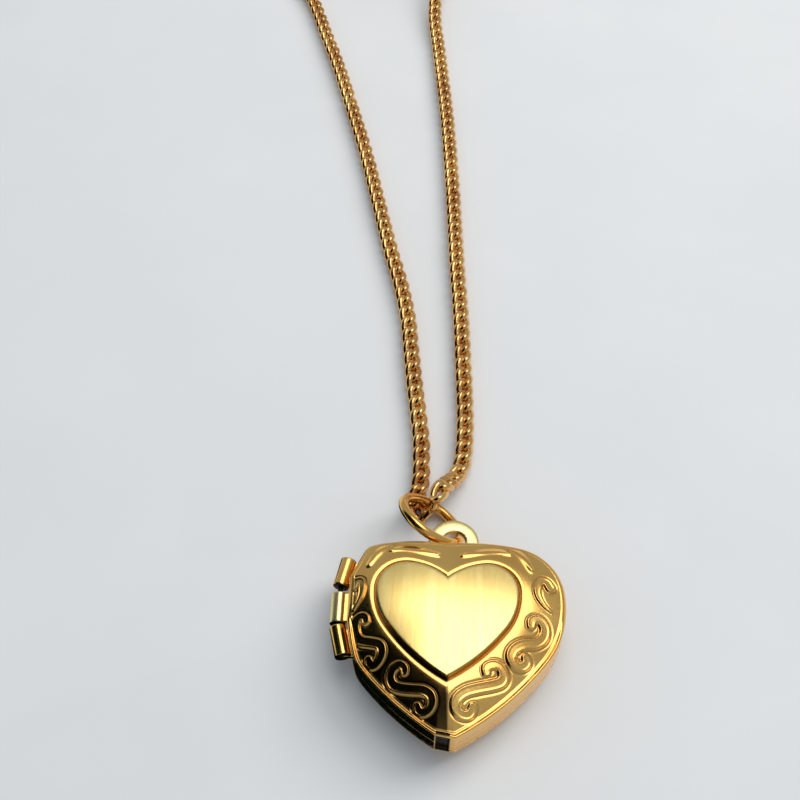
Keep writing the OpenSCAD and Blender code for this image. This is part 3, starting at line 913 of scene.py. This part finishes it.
def add_eyelet():
    """A thick flat ring with softened edges."""
    half_w = (EYELET_R - EYELET_HOLE_R) / 2
    mean_r = EYELET_R - half_w
    section = []
    for a in np.linspace(0, 2 * math.pi, 32, endpoint=False):
        c, s = math.cos(a), math.sin(a)
        r = half_w * math.copysign(abs(c) ** 0.55, c)
        section.append((r, EYELET_T / 2 * math.copysign(abs(s) ** 0.6, s)))
    middle = np.array(EYELET_MM)
    rings = []
    for a in np.linspace(0, 2 * math.pi, 96, endpoint=False):
        out = np.array((math.cos(a), math.sin(a)))
        rings.append(np.array([(*(middle + (mean_r + r) * out), RING_MM[2] + z) for r, z in section]))
    eyelet = band("eyelet", rings)
    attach(eyelet, "locket_back")
    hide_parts("bail_eyelet")
    return eyelet


def add_jump_ring():
    turn = Matrix.Rotation(RING_FALL, 3, "Z") @ Matrix.Rotation(RING_TILT, 3, "Y")
    line = []
    for a in np.linspace(0, 2 * math.pi, 128, endpoint=False):
        spoke = turn @ Vector((RING_R * math.cos(a), RING_R * math.sin(a), 0))
        line.append(np.array(RING_MM) + np.array(spoke))
    ring = wire_loop("jump_ring_wire", np.array(line), RING_WIRE_R, sides=24)
    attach(ring, "ring")
    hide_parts("jump_ring")
    return ring


# ---- Materials ----

GOLD = (1, 0.59, 0.17)
COPPER_GOLD = (0.94, 0.5, 0.13)
# A paler copy of the gold, a painted highlight on the middle barrel and the eyelet.
PAINTED_HIGHLIGHT_GOLD = (1, 0.82, 0.38)
# The dark gold of the patina and of the painted shade.
DARK_GOLD = (0.03, 0.016, 0.008)
SATIN_STREAKS = ((0.3, (0.95, 0.66, 0.22)), (0.7, (1, 0.75, 0.28)))
PAPER_MOTTLE = ((0.3, (0.76, 0.765, 0.765)), (0.7, (0.79, 0.79, 0.79)))
# How much of the dark gold covers a point whose patina and painted shade value is 1.
FULL_PATINA_AND_SHADE = 0.97


def new_material(name):
    mat = bpy.data.materials.new(name)
    mat.use_nodes = True
    return mat, mat.node_tree, mat.node_tree.nodes["Principled BSDF"]


def object_coords(tree, stretch=(1, 1, 1)):
    coords = tree.nodes.new("ShaderNodeTexCoord")
    mapping = tree.nodes.new("ShaderNodeMapping")
    mapping.inputs["Scale"].default_value = stretch
    tree.links.new(coords.outputs["Object"], mapping.inputs["Vector"])
    return mapping.outputs["Vector"]


def noise(tree, vector, scale, detail=4.0):
    node = tree.nodes.new("ShaderNodeTexNoise")
    node.inputs["Scale"].default_value = scale
    node.inputs["Detail"].default_value = detail
    tree.links.new(vector, node.inputs["Vector"])
    return node.outputs["Fac"]


def ramp(tree, fac, stops):
    node = tree.nodes.new("ShaderNodeValToRGB")
    while len(node.color_ramp.elements) < len(stops):
        node.color_ramp.elements.new(0.5)
    for element, (place, colour) in zip(node.color_ramp.elements, stops):
        element.position = place
        element.color = (*colour, 1)
    tree.links.new(fac, node.inputs["Fac"])
    return node.outputs["Color"]


def span(tree, fac, low, high):
    """Maps a factor to the range from low to high."""
    node = tree.nodes.new("ShaderNodeMapRange")
    node.inputs["To Min"].default_value = low
    node.inputs["To Max"].default_value = high
    tree.links.new(fac, node.inputs["Value"])
    return node.outputs["Result"]


def bump(tree, shader, height, strength, distance):
    node = tree.nodes.new("ShaderNodeBump")
    node.inputs["Strength"].default_value = strength
    node.inputs["Distance"].default_value = distance
    tree.links.new(height, node.inputs["Height"])
    tree.links.new(node.outputs["Normal"], shader.inputs["Normal"])


def blend_colour(tree, fac, a, b):
    """Colour a where fac is 0 and colour b where it is 1. Each is a socket or a colour."""
    node = tree.nodes.new("ShaderNodeMix")
    node.data_type = "RGBA"
    tree.links.new(fac, node.inputs["Factor"])
    named = {s.identifier: s for s in node.inputs}
    for key, value in (("A_Color", a), ("B_Color", b)):
        if isinstance(value, tuple):
            named[key].default_value = (*value, 1)
        else:
            tree.links.new(value, named[key])
    return [s for s in node.outputs if s.identifier == "Result_Color"][0]


def polished_gold(name, light=GOLD, deep=COPPER_GOLD, rough=(0.12, 0.24), wear=0.08, patina_and_painted_shade=False):
    """Polished gold with fine wear marks, slow colour changes and, if asked, dark patina in hollows and
    painted shade at the lower left.
    """
    mat, tree, shader = new_material(name)
    coords = object_coords(tree)
    slow = noise(tree, coords, 260)
    fine = noise(tree, coords, 4200, 6)
    colour = ramp(tree, slow, ((0.35, deep), (0.62, light)))
    if patina_and_painted_shade:
        # Darkens by the stored patina and painted shade.
        darkening = tree.nodes.new("ShaderNodeAttribute")
        darkening.attribute_name = "patina_and_painted_shade"
        amount = span(tree, darkening.outputs["Fac"], 0, FULL_PATINA_AND_SHADE)
        colour = blend_colour(tree, amount, colour, DARK_GOLD)
    tree.links.new(colour, shader.inputs["Base Color"])
    tree.links.new(span(tree, fine, *rough), shader.inputs["Roughness"])
    shader.inputs["Metallic"].default_value = 1
    bump(tree, shader, fine, wear, 0.02 * MM)
    return mat


def satin_gold(name):
    """Gold brushed along Y: the grain is far longer than it is wide."""
    mat, tree, shader = new_material(name)
    grain = noise(tree, object_coords(tree, (9000, 260, 9000)), 1, 3)
    streak = noise(tree, object_coords(tree, (1600, 60, 1600)), 1, 2)
    tree.links.new(ramp(tree, streak, SATIN_STREAKS), shader.inputs["Base Color"])
    tree.links.new(span(tree, grain, 0.17, 0.3), shader.inputs["Roughness"])
    shader.inputs["Metallic"].default_value = 1
    bump(tree, shader, grain, 0.3, 0.008 * MM)
    return mat


def plain_material(name, colour, rough, metallic=0.0, scale=2000, mottle=0.12):
    mat, tree, shader = new_material(name)
    fine = noise(tree, object_coords(tree), scale)
    dark = tuple(c * (1 - mottle) for c in colour)
    tree.links.new(ramp(tree, fine, ((0.35, dark), (0.65, colour))), shader.inputs["Base Color"])
    tree.links.new(span(tree, fine, rough * 0.85, min(1, rough * 1.15)), shader.inputs["Roughness"])
    shader.inputs["Metallic"].default_value = metallic
    bump(tree, shader, fine, 0.1, 0.02 * MM)
    return mat


def clear_sheet(name):
    """A thin clear sheet, which lets its card show through by a low alpha."""
    mat, tree, shader = new_material(name)
    shader.inputs["Base Color"].default_value = (0.95, 0.98, 0.97, 1)
    shader.inputs["Alpha"].default_value = 0.12
    fine = noise(tree, object_coords(tree), 900)
    tree.links.new(span(tree, fine, 0.02, 0.08), shader.inputs["Roughness"])
    return mat


def dress(obj, *materials):
    """Gives an object these materials. Clearing its slots would lose its faces' choice, so that is kept."""
    choice = [poly.material_index for poly in obj.data.polygons]
    obj.data.materials.clear()
    for mat in materials:
        obj.data.materials.append(mat)
    if len(materials) > 1:
        obj.data.polygons.foreach_set("material_index", choice)


# ---- Floor and light ----


FLOOR_HALF = 1.2
# Corners of the black cards. The first stands on the left. The others lie just over the floor, one at the
# lower left of the case and one beside the jump ring, as painted shadow that shows only in reflections.
FLAGS = {
    "flag_left": ((-0.05, 0.2, 0.46), (-0.05, -0.4, 0.46), (-0.65, -0.4, 0.0), (-0.65, 0.26, 0.0)),
    "painted_shadow_low": (
        (-0.0115, 0.003, 0.0003), (-0.0008, -0.0096, 0.0003), (-0.03, -0.06, 0.0003),
        (-0.07, -0.02, 0.0003),
    ),
    "painted_shadow_ring": (
        (-0.0026, 0.0092, 0.0002), (-0.0026, 0.0165, 0.0002), (-0.025, 0.0165, 0.0002),
        (-0.025, 0.0092, 0.0002),
    ),
}


def add_floor():
    signs = ((-1, -1), (1, -1), (1, 1), (-1, 1))
    corners = np.array([(x * FLOOR_HALF, y * FLOOR_HALF, 0) for x, y in signs])
    floor = mesh_object("floor", corners / MM, [(0, 1, 2, 3)])
    mat, tree, shader = new_material("floor_paper")
    fine = noise(tree, object_coords(tree), 60)
    tree.links.new(ramp(tree, fine, PAPER_MOTTLE), shader.inputs["Base Color"])
    shader.inputs["Roughness"].default_value = 0.7
    dress(floor, mat)


def add_light(name, place, aim, size, power, colour=(1, 1, 1)):
    data = bpy.data.lights.new(name, "AREA")
    data.shape = "RECTANGLE"
    data.size, data.size_y = size
    data.energy = power
    data.color = colour
    light = bpy.data.objects.new(name, data)
    light.location = place
    light.rotation_euler = (Vector(aim) - Vector(place)).to_track_quat("-Z", "Y").to_euler()
    bpy.context.scene.collection.objects.link(light)
    return light


def add_flag(name, corners):
    """A black card that only shows in reflections."""
    flag = mesh_object(name, np.array(corners) / MM, [(0, 1, 2, 3)])
    mat, _, shader = new_material(name + "_black")
    shader.inputs["Base Color"].default_value = (0.002, 0.008, 0.009, 1)
    shader.inputs["Roughness"].default_value = 1
    shader.inputs["Specular IOR Level"].default_value = 0
    dress(flag, mat)
    flag.visible_camera = False
    flag.visible_diffuse = False
    flag.visible_shadow = False
    flag.visible_transmission = False


def add_studio():
    scene = bpy.context.scene
    scene.view_settings.view_transform = "Standard"
    world = bpy.data.worlds.new("studio")
    world.use_nodes = True
    world.node_tree.nodes["Background"].inputs["Color"].default_value = (0.8, 0.91, 1.0, 1)
    world.node_tree.nodes["Background"].inputs["Strength"].default_value = 0.45
    scene.world = world
    add_light("softbox_over", (0.06, 0.165, 0.5), (0.06, 0.166, 0), (0.36, 0.3), 0.8, (1, 0.98, 0.95))
    key = add_light("softbox_key", (0.4, 0.3, 0.42), (0, 0.02, 0), (0.4, 0.4), 2.25, (1, 0.95, 0.9))
    key.visible_glossy = False
    for name, corners in FLAGS.items():
        add_flag(name, corners)


# ---- Putting it together ----

add_camera()
strands = add_chain()
front = add_front_shell()
back = add_back_shell()
windows = add_windows()
hinge = add_hinge()
eyelet = add_eyelet()
ring = add_jump_ring()

gold = polished_gold("gold_polished")
case_gold = polished_gold("gold_case", patina_and_painted_shade=True)
inside_gold = plain_material("gold_inside", (0.8, 0.56, 0.24), 0.35, metallic=1)
satin = satin_gold("gold_satin")
# The same gold painted paler as a highlight, for the middle barrel and the eyelet.
painted_highlight_gold = polished_gold("gold_painted_highlight", light=PAINTED_HIGHLIGHT_GOLD, deep=(1, 0.76, 0.32), rough=(0.2, 0.3))
chain_gold = polished_gold("gold_chain", light=(0.95, 0.56, 0.2), deep=(0.74, 0.38, 0.13), rough=(0.14, 0.26))
# Near-black gold painted as shade: the nail notch, the barrels' ends and bores, and the hinge pin.
darkening = plain_material("gold_painted_shade", (0.03, 0.018, 0.01), 0.4, metallic=1)
steel = plain_material("spring_wire", (0.5, 0.5, 0.5), 0.3, metallic=1)
card = plain_material("card", (0.85, 0.82, 0.74), 0.8)
window = clear_sheet("window_sheet")

dress(front, case_gold, satin, inside_gold, darkening)
dress(back, case_gold, inside_gold, darkening)
for piece in hinge:
    dress(piece, painted_highlight_gold if piece.name == "barrel_middle" else gold, darkening)
for piece in windows:
    dress(piece, window)
dress(eyelet, painted_highlight_gold)
dress(ring, gold)
for strand in strands:
    dress(strand[0], chain_gold)
# The hinge pin also gets the painted shade.
NODE_METAL = {
    "snap_rim": inside_gold, "back_frame": inside_gold, "front_frame": inside_gold, "back_card": card,
    "front_card": card, "hinge_pin": darkening, "centre_link": chain_gold, "clasp_case": gold,
    "clasp_bolt": gold, "clasp_spring": steel, "clasp_loop": gold, "clasp_link": gold, "tag_link": gold,
    "end_tag": gold,
}
for node, metal in NODE_METAL.items():
    dress(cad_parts[node], metal)
add_floor()
add_studio()
